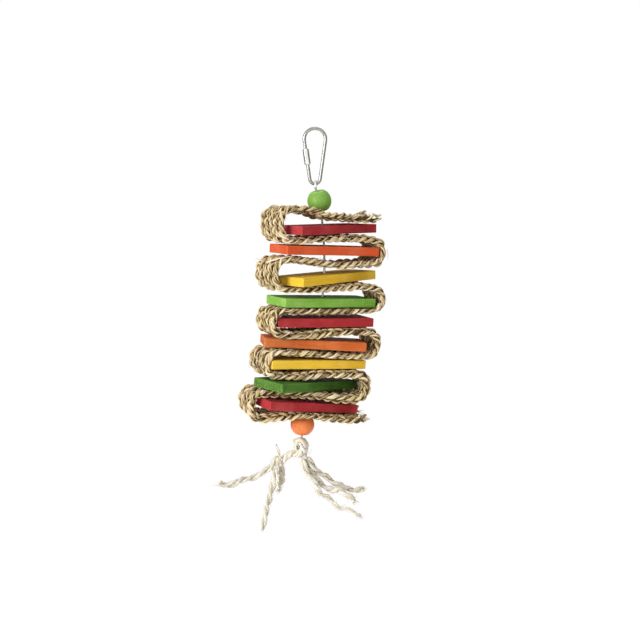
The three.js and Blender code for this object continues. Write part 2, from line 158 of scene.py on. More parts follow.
def fibre_material(name, tones, streak, roughness, depth, cast):
    """Twisted plant fibre: streaks along the lay, a tint for each ply that also holds painted shade in its
    grooves and, in the strip, deep inside it, patches of another cast and ridges.
    """
    material, node, feed = new_material(name)
    tones = [(place, linear(*colour)) for place, colour in tones]
    lay = node("Attribute", attribute_name="lay").outputs["Vector"]
    tint = node("Attribute", attribute_name="tint").outputs["Fac"]
    fine = noise(node, lay, (1, 1, streak), scale=1000.0, detail=4.0, roughness=0.6)
    broad = noise(node, lay, (1, 1, 0.3), scale=130.0, detail=3.0)
    patch = noise(node, lay, (1, 1, 0.5), scale=40.0, detail=2.0)
    total = maths(node, "MULTIPLY_ADD", fine, FINE_STREAKS, tint)
    total = maths(node, "MULTIPLY_ADD", broad, BROAD_STREAKS, total)
    tone = ramp(node, maths(node, "SUBTRACT", total, (FINE_STREAKS + BROAD_STREAKS) / 2), tones)
    patched = mix(node, 1.0, tone, linear(*cast), "MULTIPLY")
    feed("Base Color", mix(node, fade(node, patch, 0.46, 0.66), tone, patched))
    feed("Roughness", roughness)
    feed("Specular IOR Level", 0.12)
    feed("Normal", bump(node, fine, 0.9, depth))
    return material


seagrass_material = fibre_material(
    "seagrass",
    tones=[(0.00, (66, 49, 26)), (0.18, (134, 111, 73)), (0.36, (194, 171, 132)), (0.55, (224, 202, 164)),
           (0.76, (238, 220, 188)), (0.98, (248, 235, 211))],
    streak=0.03,
    roughness=0.62,
    depth=0.6 * MM,
    cast=(238, 239, 214),
)
rope_material = fibre_material(
    "rope",
    tones=[(0.02, (146, 136, 112)), (0.26, (192, 184, 164)), (0.50, (222, 216, 200)), (0.85, (242, 239, 230))],
    streak=0.05,
    roughness=0.85,
    depth=0.5 * MM,
    cast=(250, 245, 234),
)


def dyed_wood(name, colours, smooth=0.5, gloss=0.06, specks=0.0):
    """Wood under a thin dye: grain along the piece, blotches, worn edges, and specks, most on sawn ends.
    colours are those of the dye, its dark grain and its pale wear."""
    material, node, feed = new_material(name)
    colour, dark, pale = (linear(*c) for c in colours)
    place = node("Attribute", attribute_name="grain").outputs["Vector"]
    worn = node("Attribute", attribute_name="wear").outputs["Fac"]
    grain = noise(node, place, (0.05, 1, 1), scale=700.0, detail=6.0, roughness=0.62)
    rings = noise(node, place, (0.03, 1, 1), scale=130.0, detail=3.0)
    blotch = noise(node, place, None, scale=45.0, detail=3.0)
    shade = mix(node, fade(node, grain, 0.30, 0.72), dark, colour)
    shade = mix(node, fade(node, rings, 0.42, 0.62, last=0.35), shade, dark)
    shade = mix(node, fade(node, blotch, 0.45, 0.75, last=0.4), shade, pale)
    rubbed = maths(node, "MULTIPLY", worn, grain)
    shade = mix(node, fade(node, rubbed, 0.30, 0.62, last=0.75), shade, pale)
    if specks:
        spots = noise(node, place, None, scale=900.0, detail=2.0, roughness=0.7)
        spots = fade(node, spots, 0.50, 0.62, last=specks)
        sawn = node("Attribute", attribute_name="sawn").outputs["Fac"]
        sawn = maths(node, "MULTIPLY_ADD", sawn, 0.75, 0.25)
        shade = mix(node, maths(node, "MULTIPLY", sawn, spots), shade, pale)
    feed("Base Color", shade)
    feed("Roughness", fade(node, grain, 0.2, 0.8, first=smooth, last=smooth + 0.2))
    feed("Specular IOR Level", gloss)
    feed("Normal", bump(node, grain, 0.35, 0.4 * MM))
    return material


def steel(name, colour, low, high, metallic=1.0):
    """Plated steel wire: fine draw marks and a slightly uneven polish. Dull zinc is less metallic."""
    material, node, feed = new_material(name)
    place = node("TexCoord").outputs["Object"]
    marks = noise(node, place, None, scale=900.0, detail=5.0)
    worn = noise(node, place, None, scale=120.0, detail=4.0)
    feed("Base Color", mix(node, fade(node, worn, 0.4, 0.75, last=0.5), linear(*colour), linear(*WORN_STEEL)))
    feed("Metallic", metallic)
    feed("Specular Tint", grey(0.0))
    feed("Roughness", fade(node, marks, 0.3, 0.7, first=low, last=high))
    feed("Normal", bump(node, marks, 0.02, 0.2 * MM))
    return material


link_material = steel("link_steel", (168, 168, 162), 0.34, 0.40)
sleeve_material = steel("sleeve_steel", (240, 240, 238), 0.40, 0.46)
spine_material = steel("spine_steel", (250, 249, 246), 0.40, 0.48, metallic=0.65)


# Meshes from arrays
def smooth_faces(mesh):
    mesh.polygons.foreach_set("use_smooth", np.ones(len(mesh.polygons), bool))


def add_attribute(mesh, key, values):
    values = np.asarray(values, np.float32)
    kind, field = ("FLOAT_VECTOR", "vector") if values.ndim == 2 else ("FLOAT", "value")
    mesh.attributes.new(key, kind, "POINT").data.foreach_set(field, values.ravel())


def make_piece(name, vertices, faces, material, body, replaces=(), attributes=None):
    """A smooth mesh in metres in the object's frame, riding on a body. faces is a list of arrays of faces."""
    mesh = bpy.data.meshes.new(name)
    mesh.from_pydata(vertices, [], [face for group in faces for face in group.tolist()], shade_flat=False)
    mesh.validate()
    for key, values in (attributes or {}).items():
        add_attribute(mesh, key, values)
    mesh.materials.append(material)
    return seat(new_object(name, mesh), body, replaces)


def seat(piece, body, replaces=()):
    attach(piece, body)
    if replaces:
        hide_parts(*replaces)
    return piece


class Build:
    """Vertices, faces and attributes of a piece made of several swept parts."""

    def __init__(self):
        self.vertices, self.quads, self.fans, self.lay, self.tint, self.count = [], [], [], [], [], 0

    def tube(self, rings, lay, tint):
        """rings is stations by sides by 3; both ends close on their middle."""
        stations, sides = rings.shape[:2]
        ends = np.stack([rings[0].mean(0), rings[-1].mean(0)])
        self.vertices.append(np.concatenate([rings.reshape(-1, 3), ends]))
        self.lay.append(np.concatenate([lay.reshape(-1, 3), lay[0].mean(0)[None], lay[-1].mean(0)[None]]))
        tint = np.broadcast_to(tint if np.ndim(tint) == 2 else tint[:, None], (stations, sides))
        self.tint.append(np.concatenate([tint.ravel(), [tint[0].mean(), tint[-1].mean()]]))
        index = self.count + np.arange(stations * sides).reshape(stations, sides)
        turned = np.roll(index, -1, axis=1)
        self.quads.append(np.stack([index[:-1], turned[:-1], turned[1:], index[1:]], -1).reshape(-1, 4))
        top = self.count + stations * sides
        self.fans.append(np.stack([turned[0], index[0], np.full(sides, top)], -1))
        self.fans.append(np.stack([index[-1], turned[-1], np.full(sides, top + 1)], -1))
        self.count += stations * sides + 2

    def piece(self, name, material, body, slot, replaces=(), upright=None):
        """upright is given for a piece that makes room for the slats: where it stands upright."""
        vertices = np.concatenate(self.vertices)
        if upright is not None:
            vertices = make_room(vertices, upright)
        faces = [np.concatenate(self.quads), np.concatenate(self.fans)]
        attributes = {"lay": np.concatenate(self.lay), "tint": np.concatenate(self.tint)}
        return make_piece(name, vertices, faces, material, body, replaces, attributes)


# Lines and sections
CURVE_STEPS = 24


def unit(vectors):
    return vectors / np.maximum(np.linalg.norm(vectors, axis=-1, keepdims=True), 1e-12)


def around(count):
    """Even angles round a circle."""
    return 2 * np.pi * np.arange(count) / count


def lengths(points):
    """The length along a line at each of its points."""
    return np.concatenate([[0], np.cumsum(np.linalg.norm(np.diff(points, axis=0), axis=1))])


def steady(direction, line):
    """The same direction at each point of a line."""
    return np.tile(direction, (len(line), 1))


def resample(points, step):
    """The line through the points at even steps, and the length along it."""
    along = lengths(points)
    places = np.linspace(0, along[-1], max(2, int(round(along[-1] / step)) + 1))
    return np.stack([np.interp(places, along, points[:, k]) for k in range(points.shape[1])], 1), places


def rounded(points, step):
    """A smooth curve through the points (centripetal Catmull-Rom), at even steps."""
    points = np.asarray(points, float)
    padded = np.vstack([2 * points[0] - points[1], points, 2 * points[-1] - points[-2]])
    pieces = []
    for a, b, c, d in zip(padded, padded[1:], padded[2:], padded[3:]):
        knots = np.cumsum([0] + [math.sqrt(np.linalg.norm(q - p)) for p, q in ((a, b), (b, c), (c, d))])
        t = np.linspace(knots[1], knots[2], CURVE_STEPS, endpoint=False)[:, None]

        def blend(p, q, i, j):
            return ((knots[j] - t) * p + (t - knots[i]) * q) / (knots[j] - knots[i])

        ab, bc, cd = blend(a, b, 0, 1), blend(b, c, 1, 2), blend(c, d, 2, 3)
        pieces.append(blend(blend(ab, bc, 0, 2), blend(bc, cd, 1, 3), 1, 2))
    return resample(np.vstack(pieces + [points[-1:]]), step)


def rings_round(line, reach, angles, across, up, flat=1.0):
    """Rings round a line, reach from it at each angle from across to up, squashed by flat along up."""
    return line[:, None, :] + np.asarray(reach)[..., None] * (
        np.cos(angles)[..., None] * across[:, None, :] + (flat * np.sin(angles))[..., None] * up[:, None, :])


def closed_grid(rows, sides):
    """Faces of a grid that closes on itself both ways, as round a bored piece."""
    index = np.arange(rows * sides).reshape(rows, sides)
    turned = np.roll(index, -1, axis=1)
    corners = [index, turned, np.roll(turned, -1, axis=0), np.roll(index, -1, axis=0)]
    return np.stack(corners, -1).reshape(-1, 4)


def wander(count, amount, spacing, rng):
    """Smooth random values about 0, one for each station, that change over about spacing stations."""
    knots = rng.normal(size=max(4, int(count / spacing) + 4))
    return amount * np.interp(np.linspace(0, len(knots) - 1, count), np.arange(len(knots)), knots)


# Twisted cords and loose hairs. What strays is given as an amount and the stations over which it changes
CORD_TURN_STRAY = (0.5, 40)
PLY_TURN_STRAY = (0.2, 15)
PLY_TINT_STRAY = (0.07, 30)
PLY_SIZE_STATIONS = 10
PLY_OFFSET = {1: 0.0, 2: 0.86, 3: 1.06}
PLY_GRAIN_SHIFT = 37
PLY_BLADES = 3
PLY_OVAL = 0.8
TAPER_LENGTH = 3
THIN_FROM, THIN_TO = 0.45, 0.8
# Painted shade between plies: darker nearer the cord's line than this share of its reach, lighter beyond,
# within this range
GROOVE_FROM = 0.85
GROOVE_RANGE = (-0.8, 0.2)
HAIR_STEP = 1.2
HAIR_SIDES = 4
HAIR_FLAT = 0.5
HAIR_TAPER = 0.85


def lobes(angles, depth, rng):
    """Radius of an uneven bundle of blades round its section."""
    first, second = rng.uniform(0, 2 * np.pi, 2)
    return 1 + depth * np.cos(PLY_BLADES * angles + first) + PLY_OVAL * depth * np.cos(2 * angles + second)


def grain_place(radius, angles, along, shift, rng):
    """Where each point of a swept part lies in its fibre: two places across it and one along it."""
    shape = (len(along), len(angles))
    return np.stack([
        np.broadcast_to(radius * np.cos(angles), shape) + shift,
        np.broadcast_to(radius * np.sin(angles), shape) + rng.uniform(0, 1),
        np.broadcast_to(along[:, None], shape),
    ], -1)


def laid_cord(build, line, facing, plies, radius, pitch, rng, sides, taper, tint_spread, crease_shade, flat=1.0,
              lobe=0.10, phase=0.0, rough=0.09, tone=0.5, shade=None, thin=1.0):
    """Plies twisted round a line. radius is a ply's; flat squashes the cord along facing; thin is what is
    left of its thickness towards the far end."""
    count = len(line)
    tangent = unit(np.gradient(line, axis=0))
    up = unit(facing - (facing * tangent).sum(1, keepdims=True) * tangent)
    side = np.cross(tangent, up)
    along = lengths(line)
    end = TAPER_LENGTH * radius
    ends = np.interp(along, [0, end, along[-1] - end, along[-1]], [taper[0], 1, 1, taper[1]])
    ends = ends * np.interp(along / along[-1], [0, THIN_FROM, THIN_TO, 1], [1, 1, thin, thin])
    offset = radius * PLY_OFFSET[plies]
    angles = around(sides)
    cord_tint = rng.normal() * tint_spread
    drift = wander(count, *CORD_TURN_STRAY, rng)
    for ply in range(plies):
        turn = phase + 2 * np.pi * (along / pitch + ply / plies) + drift
        turn = turn + wander(count, *PLY_TURN_STRAY, rng)
        size = radius * (1 + wander(count, rough, PLY_SIZE_STATIONS, rng)) * ends
        middle = line + (offset * ends)[:, None] * (
            np.cos(turn)[:, None] * side + (flat * np.sin(turn))[:, None] * up)
        ply_tangent = unit(np.gradient(middle, axis=0))
        ply_up = unit(up - (up * ply_tangent).sum(1, keepdims=True) * ply_tangent)
        ply_side = np.cross(ply_tangent, ply_up)
        section = lobes(angles, lobe, rng)
        reach = size[:, None] * section[None, :]
        rings = rings_round(middle, reach, angles[None, :] + turn[:, None], ply_side, ply_up, flat ** 0.5)
        lay = grain_place(radius, angles, along, PLY_GRAIN_SHIFT * radius * ply, rng)
        tint = tone + cord_tint + rng.normal() * tint_spread
        tint = tint + wander(count, *PLY_TINT_STRAY, rng)
        # Painted shade and light: the tint darkens in the grooves between the plies, or between the blades of
        # a single ply, and lightens a little on the ridges
        if plies == 1:
            groove_shade = np.broadcast_to(section - 1, (count, sides))
        else:
            from_line = np.linalg.norm(rings - line[:, None, :], axis=-1) / (offset + radius)
            groove_shade = np.clip(from_line - GROOVE_FROM, *GROOVE_RANGE)
        tint = tint[:, None] + crease_shade * groove_shade
        # shade, when given, adds painted shade for each ring point
        build.tube(rings, lay, tint if shade is None else tint + shade(rings))


def hair(build, points, width, rng, tint):
    """One loose blade or hair, thinning to its tip."""
    line, along = rounded(points, max(width * 2, HAIR_STEP * MM))
    tangent = unit(np.gradient(line, axis=0))
    across = unit(np.cross(tangent, rng.normal(size=3)))
    up = np.cross(tangent, across)
    size = width / 2 * (1 - HAIR_TAPER * (along / along[-1]) ** 2)
    angles = around(HAIR_SIDES)
    rings = rings_round(line, size[:, None], angles, across, up, HAIR_FLAT)
    build.tube(rings, grain_place(width, angles, along, 0, rng), np.full(len(line), tint))


# Tassel cords: each strand's points from the lower eye, as in the solids, millimetres
STRAND_THIN = [1.0, 0.9, 1.0, 1.0, 1.05, 0.6]
STRAND_PLY = 1.8
STRAND_PITCH = 26.0
STRAND_STEP = 0.9
STRAND_FACING = (0.0, -1.0, 0.2)
ROPE_TONE = 0.66
TUFT_HAIRS = 34
TUFT_WIDTH = 0.6
TUFT_ROOT = (1, 6)
TUFT_REACH = (2, 6)
TUFT_SPREAD = 1.0
TUFT_DRIFT = 1.6
TUFT_TINT = (0.62, 0.1)
FUZZ_HAIRS = 150
FUZZ_WIDTH = 0.22
FUZZ_ROOT = 2.1
FUZZ_REACH = (1.0, 2.6)
FUZZ_LEAN = 2.2
STRANDS = [
    [(-23.1, 0, -12.8), (-25.9, -0.1, -14.4), (-28.6, -0.5, -18.4), (-31.5, -1, -22.8), (-36.3, -2, -25.9),
     (-43.3, -3.2, -29.9), (-50.3, -4.5, -32.9), (-57.3, -5.9, -33.8), (-64.3, -7.4, -35.9),
     (-70.6, -8.9, -38.6), (-76.7, -10.4, -38.8), (-81.8, -12, -37.1)],
    [(-20.6, -2.7, -17.3), (-22.9, -2.9, -18.6), (-24.9, -3, -23), (-26.6, -3.1, -29.1), (-28.4, -3.2, -36.8),
     (-30.9, -3.3, -47.6), (-32.5, -3.4, -55.4), (-35.1, -3.6, -63), (-36.3, -3.7, -71.7),
     (-38.2, -3.9, -79.2), (-39.5, -4, -86)],
    [(-20.6, 2.7, -17.3), (-22, 3, -18.4), (-21.4, 3.4, -22.8), (-20.4, 3.8, -28.6), (-20, 4.4, -34.5),
     (-21.3, 5.2, -42.1), (-23.6, 6, -48.2)],
    [(6.4, 0, -12.8), (7.4, 0.2, -15.3), (10, 0.9, -20), (13.2, 2, -25.4), (17.9, 3.4, -29.6),
     (24.4, 5, -33.2), (29.9, 6.6, -39.6), (37.3, 8.2, -43.2), (46, 9.8, -47.1), (54.7, 11.4, -49.9),
     (63.2, 13, -49.1)],
    [(1.6, 2.7, -14.7), (2.6, 2.8, -17.3), (6.4, 2.8, -23.6), (10.6, 2.7, -30.6), (16.4, 2.4, -36.1),
     (22.1, 2.1, -43.1), (29.5, 1.7, -47.1), (37.8, 1.4, -46.9), (44.9, 1.2, -51.7), (53.8, 1, -58.4)],
    [(1.6, -2.7, -14.7), (2.5, -2.9, -17.3), (3.4, -3.5, -24.6), (7, -4.2, -31), (12.2, -4.9, -36.4),
     (15.7, -5.6, -44.3), (20.2, -6.4, -50), (26.3, -7.2, -52.3), (32.6, -8.1, -58.2), (38.9, -9.1, -63.4),
     (45.4, -10, -63.1), (52.1, -11, -66.3), (58.8, -12, -70.4)],
]


def from_eye(points):
    """Points in millimetres from the lower eye, as metres in the object's frame."""
    return np.array(joints["tassel_swing"]["pos_m"]) + np.array(points) * MM


def tassel_strand(k, points):
    rng = np.random.default_rng(100 + k)
    line, along = rounded(from_eye(points), STRAND_STEP * MM)
    build = Build()
    laid_cord(build, line, steady(STRAND_FACING, line), 2, STRAND_PLY * MM, STRAND_PITCH * MM, rng,
              sides=13, lobe=0.12, taper=(0.95, 0.75), tint_spread=0.04, phase=rng.uniform(0, 6),
              rough=0.20, crease_shade=0.2, thin=STRAND_THIN[k])
    cord = build.piece(f"tassel_strand_cord_{k + 1}", rope_material, "tassel", "rope",
                       [f"tassel_strand_{k + 1}"])
    tuft = Build()
    ahead = unit(line[-1] - line[-8])
    for _ in range(TUFT_HAIRS):
        root = line[-1] - ahead * rng.uniform(*TUFT_ROOT) * MM
        root = root + rng.normal(size=3) * TUFT_SPREAD * MM
        drift = rng.normal(size=3) * TUFT_DRIFT * MM
        tip = ahead * rng.uniform(*TUFT_REACH) * MM
        hair(tuft, [root, root + tip * 0.5 + drift * 0.3, root + tip + drift],
             TUFT_WIDTH * MM, rng, rng.normal(*TUFT_TINT))
    for _ in range(FUZZ_HAIRS):
        at = rng.integers(6, len(line) - 6)
        out = unit(np.cross(unit(line[at + 1] - line[at]), rng.normal(size=3)))
        root = line[at] + out * FUZZ_ROOT * MM
        lean = unit(line[at + 3] - line[at]) * rng.choice((-1, 1))
        reach = rng.uniform(*FUZZ_REACH) * MM
        hair(tuft, [root, root + (out * 0.5 + lean) * reach, root + (out + lean * FUZZ_LEAN) * reach],
             FUZZ_WIDTH * MM, rng, ROPE_TONE)
    fray = tuft.piece(f"tassel_strand_fray_{k + 1}", rope_material, "tassel", "rope")


for k, points in enumerate(STRANDS):
    tassel_strand(k, points)

# Tassel knot: the rope's bight through the eye, the turn that ties it, its ends, and thin loose strands
ROPE_PITCH = 22.0
ROPE_FACING = (0.1, -1.0, 0.3)
LOOSE_PITCH = 18.0
KNOT_STEP = 0.8
KNOT_CORE = (0, 0, -8)
KNOT_HAIRS = 60
KNOT_HAIR_WIDTH = 0.18
KNOT_HAIR_REACH = (1, 3)
KNOT_HAIR_MIDDLE = (0, -1, -8)
KNOT_HAIR_SPREAD = (4, 2.5, 4)
DARK_HAIR_WIDTH = 0.4
bight = [(-2.0, 0.4, -12.5), (-2.6, 0.2, -8.5), (-4.2, 0, -3.8), (-4.6, 0, 0), (-3.3, 0, 3.4), (0, 0, 4.7),
         (3.3, 0, 3.4), (4.5, 0, 0), (3.8, 0, -4), (2.4, -0.2, -8.5), (2.0, -0.4, -12.5)]
main_turn = [(-5.6, -3.4, 3.0), (-2.2, -7.6, 5.8), (0.5, -9.2, 4.2), (1.7, -8.4, -0.2), (0.5, -5.8, -5.4),
             (-3.6, -3, -8.3), (-8.7, -1, -8.3), (-13.8, 0, -10.6), (-18.4, 0, -15.1), (-21.5, 0, -19.2)]
side_turn = [(-2.6, 0, 4.0), (-5.3, -1.5, 0.7), (-5.0, -1.5, -3.9), (-1.6, 0, -7.9)]
right_end = [(-1.1, 1, -1.4), (1.0, 0.5, -6.4), (2.4, 0, -11.0), (3.4, 0, -14.6)]
loop = [(-2.4, -7.0, 6.2), (-4.8, -7.2, 7.6), (-7.3, -6.8, 7.2), (-8.2, -6.2, 5.0), (-6.6, -5.6, 2.4),
        (-3.1, -5, 0.8)]
stub = [(-21.4, -1.5, -15.2), (-22.5, -2, -10.0), (-24.2, -2, -4.0), (-26.0, -2, 1.2)]
short_end = [(-22.3, -3, -16.9), (-24.4, -4.5, -22.8), (-24.8, -5.5, -30.8), (-24.0, -6, -38.9),
             (-24.4, -6.2, -45.6)]
dark_hair = [(4.2, -2.0, -10.0), (7.7, -2.6, -7.4), (11.7, -3.0, -5.6)]

# Each part of the knot with its ply's radius
THICK_PARTS = [(bight, 1.5), (main_turn, 1.85), (side_turn, 1.7), (right_end, 1.7)]
THIN_PARTS = [(loop, 0.75), (stub, 0.9), (short_end, 0.95)]

rng = np.random.default_rng(41)
knot = Build()
for points, ply in THICK_PARTS:
    line, _ = rounded(from_eye(points), KNOT_STEP * MM)
    laid_cord(knot, line, steady(ROPE_FACING, line), 3, ply * MM, ROPE_PITCH * MM, rng, sides=13,
              taper=(0.9, 0.85), tint_spread=0.04, phase=rng.uniform(0, 6), rough=0.12, crease_shade=0.2,
              tone=ROPE_TONE)
for points, ply in THIN_PARTS:
    line, _ = rounded(from_eye(points), KNOT_STEP * MM)
    laid_cord(knot, line, steady(STRAND_FACING, line), 2, ply * MM, LOOSE_PITCH * MM, rng, sides=9,
              taper=(1, 0.45), tint_spread=0.05, crease_shade=0.2, tone=ROPE_TONE)
hair(knot, from_eye(dark_hair), DARK_HAIR_WIDTH * MM, rng, 0.1)
for _ in range(KNOT_HAIRS):
    root = from_eye(np.array(KNOT_HAIR_MIDDLE) + rng.normal(size=3) * KNOT_HAIR_SPREAD)
    tip = unit(root - from_eye(KNOT_CORE)) * rng.uniform(*KNOT_HAIR_REACH) * MM
    hair(knot, [root, root + tip, root + tip * 1.5 + rng.normal(size=3) * MM],
         KNOT_HAIR_WIDTH * MM, rng, 0.6)
knot.piece("tassel_knot_rope", rope_material, "tassel", "rope", ["tassel_knot"])

# Slats: where each hangs on the wire, and the room that its turn needs in the soft strip
SLAT = (101.6, 42.5, 8.8)
SLAT_BORE = 2.6
SLAT_COUNT = 9
SLAT_ROOM = 0.45
TURN_ROOM = 1.3
TURN_STEP = 0.5
STRIP_GIVE = 6.0
STRIP_PRESS = 0.12
ROUND = np.linspace(-np.pi, np.pi, 721)


def slat_place(k):
    """A slat's node, its frame at the hole, and how far its middle lies from the hole, metres."""
    joint = joints[f"slat_{k}_turn"]
    node = next(name for name in frame["nodes"] if name.startswith(f"slat_{k}_"))
    axis = Vector(joint["axis"]).normalized()
    hole = Vector(joint["pos_m"])
    solid = frame["nodes"][node]
    corners = [solid.matrix_world @ v.co - hole for v in solid.data.vertices]
    corners = np.array([c for c in corners if (c - axis * c.dot(axis)).length > 4 * SLAT_BORE * MM])
    along = Vector(np.linalg.svd(corners - corners.mean(0), full_matrices=False)[2][0])
    along = (along - axis * along.dot(axis)).normalized()
    along = along if along.x > 0 else -along
    place = Matrix((along, axis.cross(along), axis)).transposed().to_4x4()
    place.translation = hole
    return node, place, along.dot(Vector(corners.mean(0)))


def swept_reach(k):
    """How far a slat reaches from its hole in each direction of ROUND over its whole turn, millimetres."""
    off_middle = slat_places[k][2] / MM
    reach = np.zeros(len(ROUND))
    for turn in np.radians(np.arange(*joints[f"slat_{k}_turn"]["range_deg"], TURN_STEP)):
        cosine, sine = np.cos(ROUND - turn), np.sin(ROUND - turn)
        end = (SLAT[0] / 2 + np.sign(cosine) * off_middle) / np.maximum(np.abs(cosine), 1e-6)
        edge = SLAT[1] / 2 / np.maximum(np.abs(sine), 1e-6)
        reach = np.maximum(reach, np.minimum(end, edge))
    return reach + SLAT_ROOM


slat_places = {k: slat_place(k) for k in range(1, SLAT_COUNT + 1)}
slat_reach = {k: swept_reach(k) for k in slat_places}


def make_room(points, upright):
    """Points of the strip pressed clear of each slat's whole turn: outwards where the strip stands upright,
    in its turns, and otherwise up or down."""
    points = points.copy()
    for k, (_, place, _) in slat_places.items():
        rotation, hole = np.array(place.to_3x3()), np.array(place.translation)
        local = (points - hole) @ rotation / MM
        radius = np.hypot(local[:, 0], local[:, 1])
        reach = np.interp(np.arctan2(local[:, 1], local[:, 0]), ROUND, slat_reach[k])
        past_edge = radius - reach
        past_face = np.abs(local[:, 2]) - SLAT[2] / 2 - np.where(upright, TURN_ROOM, SLAT_ROOM)
        clear = np.where(upright, past_edge, past_face)
        inside = np.where(upright, past_face, past_edge) < 0
        push = np.where(inside, np.maximum(STRIP_PRESS * (clear + STRIP_GIVE) - clear, 0), 0)
        local[:, 2] += np.where(upright, 0, push * np.sign(local[:, 2]))
        local[:, :2] *= np.where(upright, 1 + push / np.maximum(radius, 1), 1)[:, None]
        points = np.where((push > 0)[:, None], local * MM @ rotation.T + hole, points)
    return points


# Seagrass strip: five braids of three twisted cords side by side, folded along the strip's line
STRIP_HALF_WIDTH = 24.0
STRIP_HALF_THICK = 3.6
# Painted shade deep inside the strip: how much darker at most, and the depth at which it is full
PAINTED_SHADE = 0.42
PAINTED_SHADE_DEPTH = 2.8
BRAIDS = 5
BRAID_CORDS = 3
BRAID_WIDTH = 9.6
BRAID_PITCH = 26.0
BRAID_SWAY = 3.0
BRAID_RISE = 1.5
BRAID_ROLL = [30, 0, 0, 0, -30]
CORD_WIDE = 4.0
CORD_FLAT = 0.60
CORD_SIDES = 20
CORD_STEP = 0.25
CORD_STATION = 1.2
TWIST_PITCH = 26.0
END_LENGTH = 14.0
END_UNEVEN = 3
END_SHORTER = 4
END_ASIDE = 3.0
END_LIFT = 2.5
END_CURVE = 1.5
LINE_STEP = 0.5
LINE_SMOOTH = 5
LAYER_STEP = 2.0
TURN_ANGLES = np.radians(np.arange(80, -81, -10))
TURN_DEPTHS = [12, 11, 12, 13.2, 12, 14.6, 11, 10.4, 12]
TURN_SKEW = [3, 0, 3, 0, 3, 0, 6, 0, 6]
SKEW_LENGTH = 14.0
SKEW_CURVE = 1.5
TURN_SQUARE = 2.4
UPRIGHT = 0.75

# How far braids and cords stray: an amount, and the steps over which it changes
BRAID_TURN_STRAY = (0.7, 130)
BRAID_ASIDE_STRAY = (0.5, 200)
BRAID_ROLL_STRAY = (26, 400)
CORD_SWAY_STRAY = (0.3, 45)
CORD_RISE_STRAY = (0.25, 45)

# How far the stack is turned on the wire, degrees, by height
TURN_HEIGHTS = [-290, -280, -270, -260, -250, -240, -230, -215, -200, -185, -170, -155, -140, -110, -80]
TURNS = [7, 8.9, 10.9, 12.9, 14.8, 16.5, 18, 19.7, 20.9, 21.8, 22.5, 23.1, 23.5, 24.2, 25]

# The strip's middle line along the stack, one row of (along, height) for each layer, millimetres
LAYERS = [
    [(62.4, -85.2), (57.0, -87.0), (44.7, -87.5), (31.4, -86.2), (18.1, -84.7), (4.9, -84.1), (-8.4, -79.4),
     (-21.7, -77.0), (-35.0, -76.8)],
    [(-35.0, -107.1), (-22.2, -107.1), (-9.4, -106.4), (3.5, -105.7), (16.3, -105.7), (29.1, -105.8),
     (41.9, -106.1), (54.7, -107.9)],
    [(54.7, -132.0), (41.2, -132.2), (27.6, -132.5), (14.0, -132.1), (0.4, -129.8), (-13.1, -127.6),
     (-26.7, -126.0), (-40.3, -126.0)],
    [(-40.3, -153.8), (-27.0, -154.2), (-13.7, -154.8), (-0.4, -154.7), (12.9, -154.2), (26.3, -153.8),
     (39.6, -153.6), (52.9, -155.7)],
    [(52.9, -178.2), (39.6, -178.2), (26.3, -178.3), (13.0, -178.0), (-0.3, -177.3), (-13.6, -176.6),
     (-26.9, -175.9), (-40.2, -175.2)],
    [(-40.2, -199.0), (-27.9, -199.7), (-15.6, -199.6), (-3.4, -199.1), (8.9, -198.7), (21.2, -198.0),
     (33.4, -198.3), (45.7, -198.8)],
    [(45.7, -224.1), (32.1, -223.3), (18.5, -222.5), (4.9, -221.1), (-8.7, -219.0), (-22.3, -217.8),
     (-35.9, -216.8), (-49.4, -215.8)],
    [(-49.4, -238.5), (-36.9, -239.5), (-24.3, -240.4), (-11.8, -240.4), (0.8, -239.0), (13.3, -239.5),
     (25.9, -240.3), (38.5, -241.0)],
    [(38.5, -266.0), (24.4, -265.4), (10.4, -263.2), (-3.6, -260.9), (-17.6, -259.2), (-31.6, -257.8),
     (-45.6, -257.2), (-59.7, -256.8)],
    [(-59.7, -282.2), (-44.0, -282.0), (-28.3, -280.3), (-12.7, -279.7), (3.0, -282.7), (18.7, -284.8),
     (34.3, -286.9), (50.0, -286.7)],
]


def strip_line():
    """Layers joined by rounded turns, at even steps, in metres in the stack's plane, and how far each place
    is drawn in at the near edge."""
    points, tips = [], []
    for k, layer in enumerate(LAYERS):
        points += list(rounded(layer, LAYER_STEP)[0])
        if k == len(LAYERS) - 1:
            break
        upper, lower = np.array(layer[-1]), np.array(LAYERS[k + 1][0])
        middle, half = (upper + lower) / 2, (upper[1] - lower[1]) / 2
        outward = TURN_DEPTHS[k] * (-1 if k % 2 == 0 else 1)
        tips.append(middle + np.array((outward, 0)))
        for angle in TURN_ANGLES:
            c, s = math.cos(angle), math.sin(angle)
            points.append(middle + np.array((
                outward * c ** (2 / TURN_SQUARE), half * math.copysign(abs(s) ** (2 / TURN_SQUARE), s))))
    line, _ = resample(np.array(points), LINE_STEP)
    reach = 3 * LINE_SMOOTH
    kernel = np.exp(-0.5 * (np.arange(-reach, reach + 1) / LINE_SMOOTH) ** 2)
    kernel /= kernel.sum()
    padded = np.vstack([2 * line[0] - line[reach:0:-1], line, 2 * line[-1] - line[-2:-reach - 2:-1]])
    line = np.stack([np.convolve(padded[:, k], kernel, "valid") for k in range(2)], 1)
    line, along = resample(line * MM, LINE_STEP * MM)
    skew = np.zeros(len(line))
    for tip, amount in zip(tips, TURN_SKEW):
        at = along[np.argmin(np.linalg.norm(line - tip * MM, axis=1))]
        skew += amount * MM * np.exp(-0.5 * ((along - at) / (SKEW_LENGTH * MM)) ** 2)
    return line, along, skew


middle_line, strip_along, strip_skew = strip_line()
strip_length = strip_along[-1]
strip_tangent = unit(np.gradient(middle_line, axis=0))
strip_normal = np.stack([-strip_tangent[:, 1], strip_tangent[:, 0]], 1)


